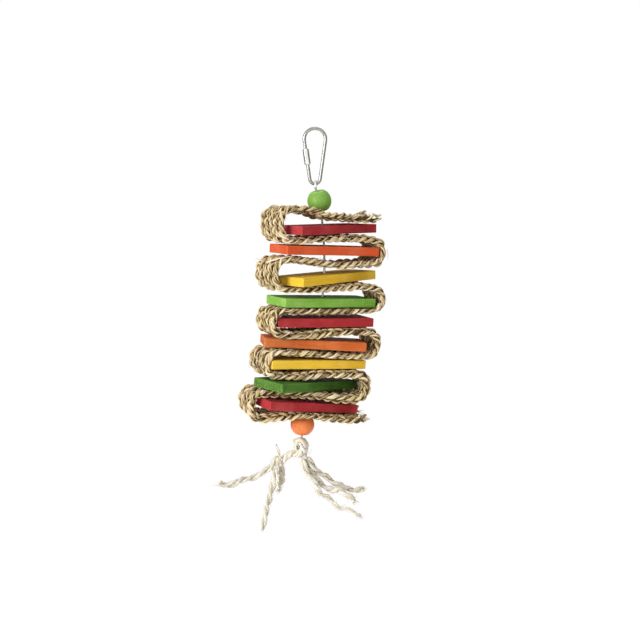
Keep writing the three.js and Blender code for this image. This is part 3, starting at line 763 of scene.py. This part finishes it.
def on_strip(places, across, lift):
    """Points and normals in the object's frame, from places along and across the strip and lifts off it."""
    x, z = (np.interp(places, strip_along, middle_line[:, k]) for k in range(2))
    nx, nz = (np.interp(places, strip_along, strip_normal[:, k]) for k in range(2))
    near = np.clip((1 - across / (STRIP_HALF_WIDTH * MM)) / 2, 0, 1) ** SKEW_CURVE
    x, z = x + lift * nx + near * np.interp(places, strip_along, strip_skew), z + lift * nz
    turn = np.radians(np.interp(z / MM, TURN_HEIGHTS, TURNS))
    cosine, sine = np.cos(turn), np.sin(turn)
    return (np.stack([x * cosine - across * sine, x * sine + across * cosine, z], 1),
            np.stack([nx * cosine, nx * sine, nz], 1))


def strip_cord(k):
    """One cord of a braid, along the whole strip."""
    braid, strand = divmod(k, BRAID_CORDS)
    shared, rng = np.random.default_rng(290 + braid), np.random.default_rng(300 + k)
    places = np.arange(0, strip_length, CORD_STEP * MM)
    count = len(places)
    angle = 2 * np.pi * (places / (BRAID_PITCH * MM) + strand / BRAID_CORDS) + shared.uniform(0, 6)
    angle = angle + wander(count, *BRAID_TURN_STRAY, shared)
    aside = wander(count, *BRAID_ASIDE_STRAY, shared)
    sway = BRAID_SWAY * np.sin(angle) + wander(count, *CORD_SWAY_STRAY, rng)
    rise = -BRAID_RISE * np.sin(2 * angle) + wander(count, *CORD_RISE_STRAY, rng)
    roll = np.radians(BRAID_ROLL[braid] + wander(count, *BRAID_ROLL_STRAY, shared))
    across = (braid - (BRAIDS - 1) / 2) * BRAID_WIDTH + aside + sway * np.cos(roll) - rise * np.sin(roll)
    lift = sway * np.sin(roll) + rise * np.cos(roll)
    shorter = 0 if braid in (0, BRAIDS - 1) else END_SHORTER
    first, last = (rng.uniform(0, END_UNEVEN, 2) + shorter) * MM
    inside = (places >= first) & (places <= strip_length - last)
    for from_end in (places, strip_length - places):
        loose = np.clip(1 - from_end / (END_LENGTH * MM), 0, 1) ** END_CURVE
        across = across + loose * rng.normal() * END_ASIDE
        lift = lift + loose * rng.normal() * END_LIFT
    places, across, lift = places[inside], across[inside] * MM, lift[inside] * MM
    points, normals = on_strip(places, across, lift)
    outward = unit(on_strip(places, across + MM, lift)[0] - points)
    length = lengths(points)
    steps = np.arange(0, length[-1], CORD_STATION * MM)
    table = np.column_stack([points, normals, outward, across, lift])
    table = np.stack([np.interp(steps, length, column) for column in table.T], 1)
    points, normals, outward = table[:, :3], table[:, 3:6], table[:, 6:9]
    across, lift = table[:, 9], table[:, 10]

    def shade(rings):
        """Painted shade: darker the deeper a point lies inside the strip, less near its outer faces and edges.
        """
        away = rings - points[:, None, :]
        height = np.abs(lift[:, None] + (away * normals[:, None, :]).sum(-1))
        aside = np.abs(across[:, None] + (away * outward[:, None, :]).sum(-1))
        depth = np.minimum(STRIP_HALF_THICK * MM - height, STRIP_HALF_WIDTH * MM - aside)
        return -PAINTED_SHADE * np.clip(depth / (PAINTED_SHADE_DEPTH * MM), 0, 1)

    build = Build()
    laid_cord(build, points, normals, 1, CORD_WIDE / 2 * MM, TWIST_PITCH * MM, rng, flat=CORD_FLAT,
              sides=CORD_SIDES, lobe=0.15, taper=(0.5, 0.5), tint_spread=0.05, phase=rng.uniform(0, 6),
              rough=0.13, crease_shade=0.9, shade=shade)
    upright = np.repeat(np.abs(normals[:, 2]) < UPRIGHT, CORD_SIDES)
    build.piece(f"seagrass_cord_{k + 1}", seagrass_material, "spine", "seagrass", ["seagrass_strip"],
                np.append(upright, (False, False)))


for k in range(BRAIDS * BRAID_CORDS):
    strip_cord(k)

# Loose blades: short ones all over the strip, long ones and loose cord ends by their points, and frayed ends
LOOSE_BLADES = 320
BLADE_REACH = (3, 10)
BLADE_OUT = (0.3, 1.6)
BLADE_LIFT = 2
BLADE_STEPS = np.array((0, 0.5, 1.0))
BLADE_WIDTH = (0.4, 1.1)
BLADE_TINT = (0.55, 0.12)
LONG_TINT = 0.9
LONG_WIDTHS = [1.7, 1.7, 3.2, 3.6, 3.6, 1.2]
LONG_BLADES = [
    [(-22.8, -31, -195.9), (-26.6, -34.5, -197.6), (-30.9, -36.5, -199.8), (-35.0, -37, -201.4)],
    [(-12.6, -27.5, -198.9), (-17.4, -31.5, -200.6), (-22.7, -34, -201.9), (-28.1, -35, -202.6)],
    [(-47.3, -30, -128.2), (-39.3, -33, -125.4), (-29.7, -38.5, -122.6), (-19.7, -36.5, -121.4)],
    [(-46.5, -4, -131.4), (-52.5, -4, -127.9), (-59.5, -5, -125.4)],
    [(-46.5, -4, -133.9), (-53.4, -5, -131.3), (-60.0, -6, -128.4)],
    [(56.9, -3, -198.4), (60.9, -4, -201.3), (63.8, -5, -198.2)],
]
LOOSE_END_RADIUS = 1.3
LOOSE_END_PITCH = 20.0
LOOSE_END_STEP = 0.8
LOOSE_ENDS = [
    [(30.6, 40.5, -87.8), (37.9, 43, -85.8), (44.6, 45.5, -83.0), (52.4, 48, -80.2)],
    [(32.7, 40, -88.2), (40.9, 43, -86.2), (47.2, 45.5, -84.6), (52.9, 47, -83.4)],
]
FRAY_BLADES = 26
FRAY_ROOTS = (3, 6)
FRAY_REACH = (3, 7)
FRAY_WIDTH = (0.6, 1.2)

rng = np.random.default_rng(77)
blades = Build()
for _ in range(LOOSE_BLADES):
    at = rng.uniform(0.01, 0.99) * strip_length
    side = rng.choice((-1, 1))
    on_edge = rng.random() < 0.5
    across = (side if on_edge else rng.uniform(-1, 1)) * STRIP_HALF_WIDTH * MM
    lift = (rng.uniform(-BLADE_LIFT, BLADE_LIFT) if on_edge else side * STRIP_HALF_THICK * 0.9) * MM
    reach = rng.uniform(*BLADE_REACH) * rng.choice((-1, 1)) * MM
    out = rng.uniform(*BLADE_OUT) * MM
    places = np.clip(at + reach * BLADE_STEPS, 0, strip_length)
    away = side * out * np.array((-1.0, 0.6, 1.0 + rng.uniform(0, 1)))
    if on_edge:
        points, _ = on_strip(places, across + away, np.full(len(places), lift))
    else:
        points, _ = on_strip(places, across + rng.normal() * BLADE_STEPS * MM, lift + away)
    width = rng.uniform(*BLADE_WIDTH) * MM
    hair(blades, points, width, rng, rng.normal(*BLADE_TINT))
for points, width in zip(LONG_BLADES, LONG_WIDTHS):
    hair(blades, np.array(points) * MM, width * MM, rng, LONG_TINT)
for points in LOOSE_ENDS:
    line, _ = rounded(np.array(points) * MM, LOOSE_END_STEP * MM)
    laid_cord(blades, line, steady((0.0, 0.0, 1.0), line), 1, LOOSE_END_RADIUS * MM, LOOSE_END_PITCH * MM, rng,
              sides=12, lobe=0.15, taper=(0.8, 0.6), tint_spread=0.03, rough=0.15, crease_shade=0.9)
for end, ahead in ((0.0, -1), (strip_length, 1)):
    for _ in range(FRAY_BLADES):
        across = rng.uniform(-1, 1) * STRIP_HALF_WIDTH * MM
        lift = rng.uniform(-1, 1) * STRIP_HALF_THICK * 0.8 * MM
        places = end - ahead * np.array(FRAY_ROOTS) * MM
        root, behind = on_strip(places, np.full(2, across), np.full(2, lift))[0]
        tip = unit(root - behind) * rng.uniform(*FRAY_REACH) * MM
        drift = rng.normal(size=3) * MM
        points = [root, root + tip * 0.6 + drift * 0.4, root + tip + drift]
        width = rng.uniform(*FRAY_WIDTH) * MM
        hair(blades, points, width, rng, rng.normal(*BLADE_TINT))
blades.piece("seagrass_loose_blades", seagrass_material, "spine", "seagrass", upright=False)

# Slats: sawn blanks with rounded, slightly chipped edges and a drilled hole
DYES = {
    "red": ((176, 51, 54), (152, 41, 45), (204, 90, 90)),
    "orange": ((218, 93, 54), (194, 76, 40), (231, 132, 90)),
    "pale_orange": ((206, 110, 54), (178, 82, 36), (228, 150, 96)),
    "yellow": ((241, 199, 62), (220, 172, 44), (248, 218, 106)),
    "green": ((124, 178, 65), (102, 154, 50), (170, 208, 118)),
    "dark_green": ((66, 104, 34), (50, 84, 25), (122, 168, 80)),
}
FADED = {6: "pale_orange"}
SPECKS = {"green": 0.7, "dark_green": 0.9}
FEW_SPECKS = 0.15
EDGE_ROUND = 0.9
EDGE_RIMS = np.array((0.35, 0.66))
EDGE_WEAR = 1.6
CHIP_DEPTHS = np.array((0.35, 0.5, 0.45))
GRID_LINES = (52, 22, 5)
SAWN_DEPTH = 1.0
SAWN_FADE = 0.6
DRILL_LENGTH = 30.0
DRILL_SIDES = 32
dyes = {}
for name, colours in DYES.items():
    dyes[name] = dyed_wood("dye_" + name, colours, specks=SPECKS.get(name, FEW_SPECKS))


def slab(size, rng):
    """A block as a fine grid with rounded worn edges, and how near each point is to an edge."""
    half = np.array(size) / 2
    inner = half - EDGE_ROUND
    bm = bmesh.new()
    bmesh.ops.create_cube(bm, size=2)
    for axis in range(3):
        normal = Vector((0, 0, 0))
        normal[axis] = 1
        rims = half[axis] - EDGE_RIMS
        cuts = np.concatenate([np.linspace(-inner[axis], inner[axis], GRID_LINES[axis]), rims, -rims])
        for cut in np.sort(cuts):
            whole = bm.verts[:] + bm.edges[:] + bm.faces[:]
            bmesh.ops.bisect_plane(bm, geom=whole, plane_co=normal * (cut / half[axis]), plane_no=normal)
    points = np.array([v.co for v in bm.verts]) * half
    core = np.clip(points, -inner, inner)
    away = points - core
    far = np.linalg.norm(away, axis=1)
    wear = np.clip((np.sort(np.abs(points) - (half - EDGE_WEAR), axis=1)[:, 1]) / EDGE_WEAR, 0, 1)
    outer = core + unit(away) * np.minimum(far, EDGE_ROUND)[:, None]
    flat = (np.abs(away) > 1e-9).sum(1) <= 1
    points = np.where(flat[:, None], points, outer)
    phase = rng.uniform(0, 6, 6)
    x, y, z = points.T
    warp = 0.18 * np.sin(x / 31 + phase[0]) + 0.10 * np.sin(y / 9 + x / 47 + phase[1])
    saw = 0.035 * np.sin(x * 1.9 + 0.2 * y + phase[2]) + 0.03 * np.sin(x * 0.83 + phase[3])
    points[:, 2] += warp + saw * np.sign(z)
    points[:, 1] += 0.12 * np.sin(x / 23 + phase[4]) + 0.05 * np.sin(x / 3.1 + phase[5])
    chips = wear * np.clip(np.sin(x * 0.41 + phase[1]) + np.sin(x * 0.173 + y + phase[3]) - 1.35, 0, 1)
    points -= np.sign(points) * chips[:, None] * CHIP_DEPTHS
    for vertex, point in zip(bm.verts, points):
        vertex.co = point * MM
    mesh = bpy.data.meshes.new("slab")
    bm.to_mesh(mesh)
    bm.free()
    return mesh, wear


def drill(piece):
    """Cuts the slat's hole through the piece along its own z."""
    radius = SLAT_BORE * MM
    bm = bmesh.new()
    bmesh.ops.create_cone(bm, cap_ends=True, segments=DRILL_SIDES, radius1=radius, radius2=radius,
                          depth=DRILL_LENGTH * MM)
    cutter_mesh = bpy.data.meshes.new("drill")
    bm.to_mesh(cutter_mesh)
    bm.free()
    cutter = new_object("drill", cutter_mesh)
    cutter.matrix_world = piece.matrix_world
    modifier = piece.modifiers.new("hole", "BOOLEAN")
    modifier.object = cutter
    modifier.operation = "DIFFERENCE"
    modifier.solver = "EXACT"
    bpy.context.view_layer.update()
    cut = bpy.data.meshes.new_from_object(piece.evaluated_get(bpy.context.evaluated_depsgraph_get()))
    piece.modifiers.clear()
    piece.data = cut
    bpy.data.objects.remove(cutter)


def slat(k):
    node, place, off_middle = slat_places[k]
    dye = node.split("_", 2)[2]
    rng = np.random.default_rng(500 + k)
    mesh, wear = slab(SLAT, rng)
    mesh.transform(Matrix.Translation((off_middle, 0, 0)))
    points = np.array([v.co for v in mesh.vertices])
    past_end = np.abs(points[:, 0] - off_middle) / MM - SLAT[0] / 2
    add_attribute(mesh, "wear", wear)
    add_attribute(mesh, "sawn", np.clip((past_end + SAWN_DEPTH) / SAWN_FADE, 0, 1))
    add_attribute(mesh, "grain", points + rng.uniform(0, 5, 3))
    mesh.materials.append(dyes[FADED.get(k, dye)])
    piece = new_object(f"slat_{k}_wood", mesh)
    drill(piece)
    smooth_faces(piece.data)
    piece.data.transform(place)
    seat(piece, f"slat_{k}", [node])


for k in slat_places:
    slat(k)

# Beads, turned on their own axes; the bore's mouth is (out from the bore, up from the end)
BEAD_RADIUS = 12.0
BEAD_HALF = 10.25
BEAD_BORE = 3.1
BEAD_MOUTH = [(0, 1.0), (0.1, 0.4), (0.5, 0)]
BEAD_EASE = 0.7
BEAD_UNEVEN = 0.05
BEAD_WEAR = 0.9
BEAD_ARC = 41
BEAD_SIDES = 72


def bead(node, material, seed):
    rng = np.random.default_rng(seed)
    joint = joints[node + "_spin"]
    place = Vector(joint["axis"]).normalized().to_track_quat("Z", "Y").to_matrix()
    end = math.asin(BEAD_HALF / BEAD_RADIUS) - BEAD_EASE / BEAD_RADIUS
    flat_edge = BEAD_RADIUS * math.cos(end) - 1.6 * BEAD_EASE
    lower = [(BEAD_BORE + out, up - BEAD_HALF) for out, up in BEAD_MOUTH]
    lower.append((flat_edge, -BEAD_HALF))
    arc = np.linspace(-end, end, BEAD_ARC)
    middle = [(BEAD_RADIUS * math.cos(a), BEAD_RADIUS * math.sin(a)) for a in arc]
    profile = np.array(lower + middle + [(r, -z) for r, z in lower[::-1]])
    turn = around(BEAD_SIDES)
    radius = profile[:, :1] + np.zeros(BEAD_SIDES)
    height = profile[:, 1:] + np.zeros(BEAD_SIDES)
    radius = radius + BEAD_UNEVEN * np.sin(2 * turn + rng.uniform(0, 6)) * (radius / BEAD_RADIUS) ** 2
    points = (np.stack([radius * np.cos(turn), radius * np.sin(turn), height], -1) * MM).reshape(-1, 3)
    wear = np.exp(-((np.abs(height) - BEAD_HALF + BEAD_EASE) / BEAD_WEAR) ** 2).ravel()
    grain = points[:, [2, 0, 1]] + rng.uniform(0, 5, 3)
    make_piece(node + "_wood", points @ np.array(place).T + np.array(joint["pos_m"]),
               [closed_grid(len(profile), BEAD_SIDES)], material, node, [node],
               {"grain": grain, "wear": wear})


BEAD_GREEN = ((140, 184, 82), (112, 158, 60), (178, 210, 124))
BEAD_ORANGE = ((244, 142, 80), (228, 114, 56), (250, 174, 120))
green_dye = dyed_wood("bead_green", BEAD_GREEN, smooth=0.34, gloss=0.3)
orange_dye = dyed_wood("bead_orange", BEAD_ORANGE, smooth=0.34, gloss=0.3)
bead("top_bead", green_dye, 61)
bead("bottom_bead", orange_dye, 62)

# Quick link: bent wire with a gap in its left leg, and the six-sided sleeve over the gap. Its bends are given
# by radius and height, the gap and the sleeve by their places down the leg
LINK_WIRE = 3.2
LINK_STEP = 0.8
LINK_SIDES = 20
LINK_TOP = (10.5, -8.9)
LINK_TOP_POINTS = 25
LINK_BOTTOM = (5.1, -47.3)
LINK_BOTTOM_POINTS = 17
LINK_GAP = (10.0, 18.0)
SLEEVE_START = 8.0
SLEEVE_LENGTH = 15.5
SLEEVE_FLATS = 5.4
SLEEVE_CORNERS = 1.12
SLEEVE_BORE = 1.9
SLEEVE_SIDES = 72
SLEEVE_RINGS = [0, 0, 0.15, 0.4, 0.8, 1.4]
SLEEVE_EASE = 0.25
SLEEVE_SLOPE = 0.9
FORWARD = (0.0, 1.0, 0.0)
link_taper = math.asin((LINK_TOP[0] - LINK_BOTTOM[0]) / (LINK_TOP[1] - LINK_BOTTOM[1]))


def link_arc(arc, start, stop, count):
    return [(arc[0] * math.cos(a), 0, arc[1] + arc[0] * math.sin(a)) for a in np.linspace(start, stop, count)]


upper_arc = link_arc(LINK_TOP, -link_taper, math.pi + link_taper, LINK_TOP_POINTS)
lower_arc = link_arc(LINK_BOTTOM, math.pi + link_taper, 2 * math.pi - link_taper, LINK_BOTTOM_POINTS)
leg_top = np.array(upper_arc[-1])
leg_down = unit(np.array(lower_arc[0]) - leg_top)


def link_body():
    points = [leg_top + leg_down * LINK_GAP[1]] + lower_arc + upper_arc + [leg_top + leg_down * LINK_GAP[0]]
    line, _ = resample(np.array(points) * MM, LINK_STEP * MM)
    across = steady(FORWARD, line)
    up = np.cross(unit(np.gradient(line, axis=0)), across)
    rings = rings_round(line, LINK_WIRE / 2 * MM, around(LINK_SIDES), across, up)
    build = Build()
    build.tube(rings, rings, np.zeros(len(line)))
    build.piece("quick_link_wire", link_material, "quick_link", "link_steel", ["quick_link_body"])


def link_sleeve():
    angles = around(SLEEVE_SIDES)
    hexagon = SLEEVE_FLATS / 2 / np.cos((angles + math.pi / 6) % (math.pi / 3) - math.pi / 6)
    hexagon = np.minimum(hexagon, SLEEVE_FLATS / 2 * SLEEVE_CORNERS)
    far_rings = [SLEEVE_LENGTH - height for height in SLEEVE_RINGS[::-1]]
    heights = np.array(SLEEVE_RINGS + [SLEEVE_LENGTH / 2] + far_rings)
    from_end = np.minimum(heights, SLEEVE_LENGTH - heights)
    eased = SLEEVE_FLATS / 2 - SLEEVE_EASE + SLEEVE_SLOPE * from_end
    reach = np.minimum(hexagon[None, :], eased[:, None])
    reach[0] = reach[-1] = SLEEVE_BORE
    middle = leg_top + leg_down * SLEEVE_START + heights[:, None] * leg_down
    side = np.cross(leg_down, FORWARD)
    points = rings_round(middle, reach, angles, steady(FORWARD, middle), steady(side, middle))
    make_piece("quick_link_nut", points.reshape(-1, 3) * MM, [closed_grid(len(heights), SLEEVE_SIDES)],
               sleeve_material, "link_sleeve", ["quick_link_sleeve"])


link_body()
link_sleeve()

# The spine wire keeps its solid
spine_mesh = frame["nodes"]["spine_wire"].data
spine_mesh.materials.clear()
spine_mesh.materials.append(spine_material)
smooth_faces(spine_mesh)

# Stage: soft lamps that look at the toy's middle, a white world and a pale floor below
MIDDLE = (0, 0, -0.2)
FLOOR_HALF = 1.2
FLOOR_HEIGHT = -0.75
FLOOR_GLOW = 0.6


def area_lamp(name, place, size, power):
    lamp = new_object(name, bpy.data.lights.new(name, "AREA"))
    lamp.data.shape = "DISK"
    lamp.data.size = size
    lamp.data.energy = power
    lamp.location = place
    lamp.rotation_euler = (Vector(MIDDLE) - Vector(place)).to_track_quat("-Z", "Y").to_euler()


area_lamp("key", (-1.05, -1.05, 0.12), size=0.8, power=18.5)
area_lamp("fill", (1.1, -1.0, 0.1), size=1.2, power=2.4)
area_lamp("top", (0.1, 0.2, 1.0), size=0.9, power=3)

world = bpy.data.worlds.new("world")
bpy.context.scene.world = world
world.use_nodes = True
sky = node_maker(world.node_tree)
rays = sky("LightPath").outputs
direction = sky("SeparateXYZ", {0: sky("TexCoord").outputs["Generated"]}).outputs


def by_direction(axis, stops):
    """A strength by direction along an axis; stops are (place from -1 to 1, strength)."""
    spread = sky("MapRange", {"Value": direction[axis], "From Min": -1.0})
    return ramp(sky, spread.outputs["Result"], [((place + 1) / 2, grey(level)) for place, level in stops])


def either(switch, off, on):
    return sky("MapRange", {"Value": switch, "To Min": off, "To Max": on}).outputs["Result"]


# White to the camera, soft light from above for the object; metal sees bright front, back and top, dim sides
ambient = by_direction("Z", [(-1.0, 0.16), (1.0, 0.80)])
mirrored = by_direction("Y", [(-0.85, 0.85), (-0.60, 0.14), (0.88, 0.14), (0.97, 1.0)])
overhead = by_direction("Z", [(0.25, 0.14), (0.75, 0.75)])
strength = either(rays["Is Glossy Ray"], ambient, maths(sky, "MAXIMUM", mirrored, overhead))
for ray in ("Is Transmission Ray", "Is Camera Ray"):
    strength = either(rays[ray], strength, 1.0)
background = world.node_tree.nodes["Background"]
plug((1, 1, 1, 1), background.inputs["Color"])
plug(strength, background.inputs["Strength"])

# The floor glows to camera, glossy and transmission rays, and not as a lamp
floor_sides = ((-1, -1), (1, -1), (1, 1), (-1, 1))
floor_corners = [(x * FLOOR_HALF, y * FLOOR_HALF, FLOOR_HEIGHT) for x, y in floor_sides]
floor_mesh = bpy.data.meshes.new("floor")
floor_mesh.from_pydata(floor_corners, [], [(0, 1, 2, 3)])
floor = new_object("floor", floor_mesh)
floor_material, node, feed = new_material("floor")
feed("Base Color", grey(0.9))
feed("Roughness", 0.9)
feed("Emission Color", grey(1))
seen = node("LightPath").outputs
glow = seen["Is Camera Ray"]
for ray in ("Is Glossy Ray", "Is Transmission Ray"):
    glow = maths(node, "MAXIMUM", glow, seen[ray])
feed("Emission Strength", maths(node, "MULTIPLY", glow, FLOOR_GLOW))
floor_mesh.materials.append(floor_material)

bpy.context.scene.view_settings.view_transform = "Standard"
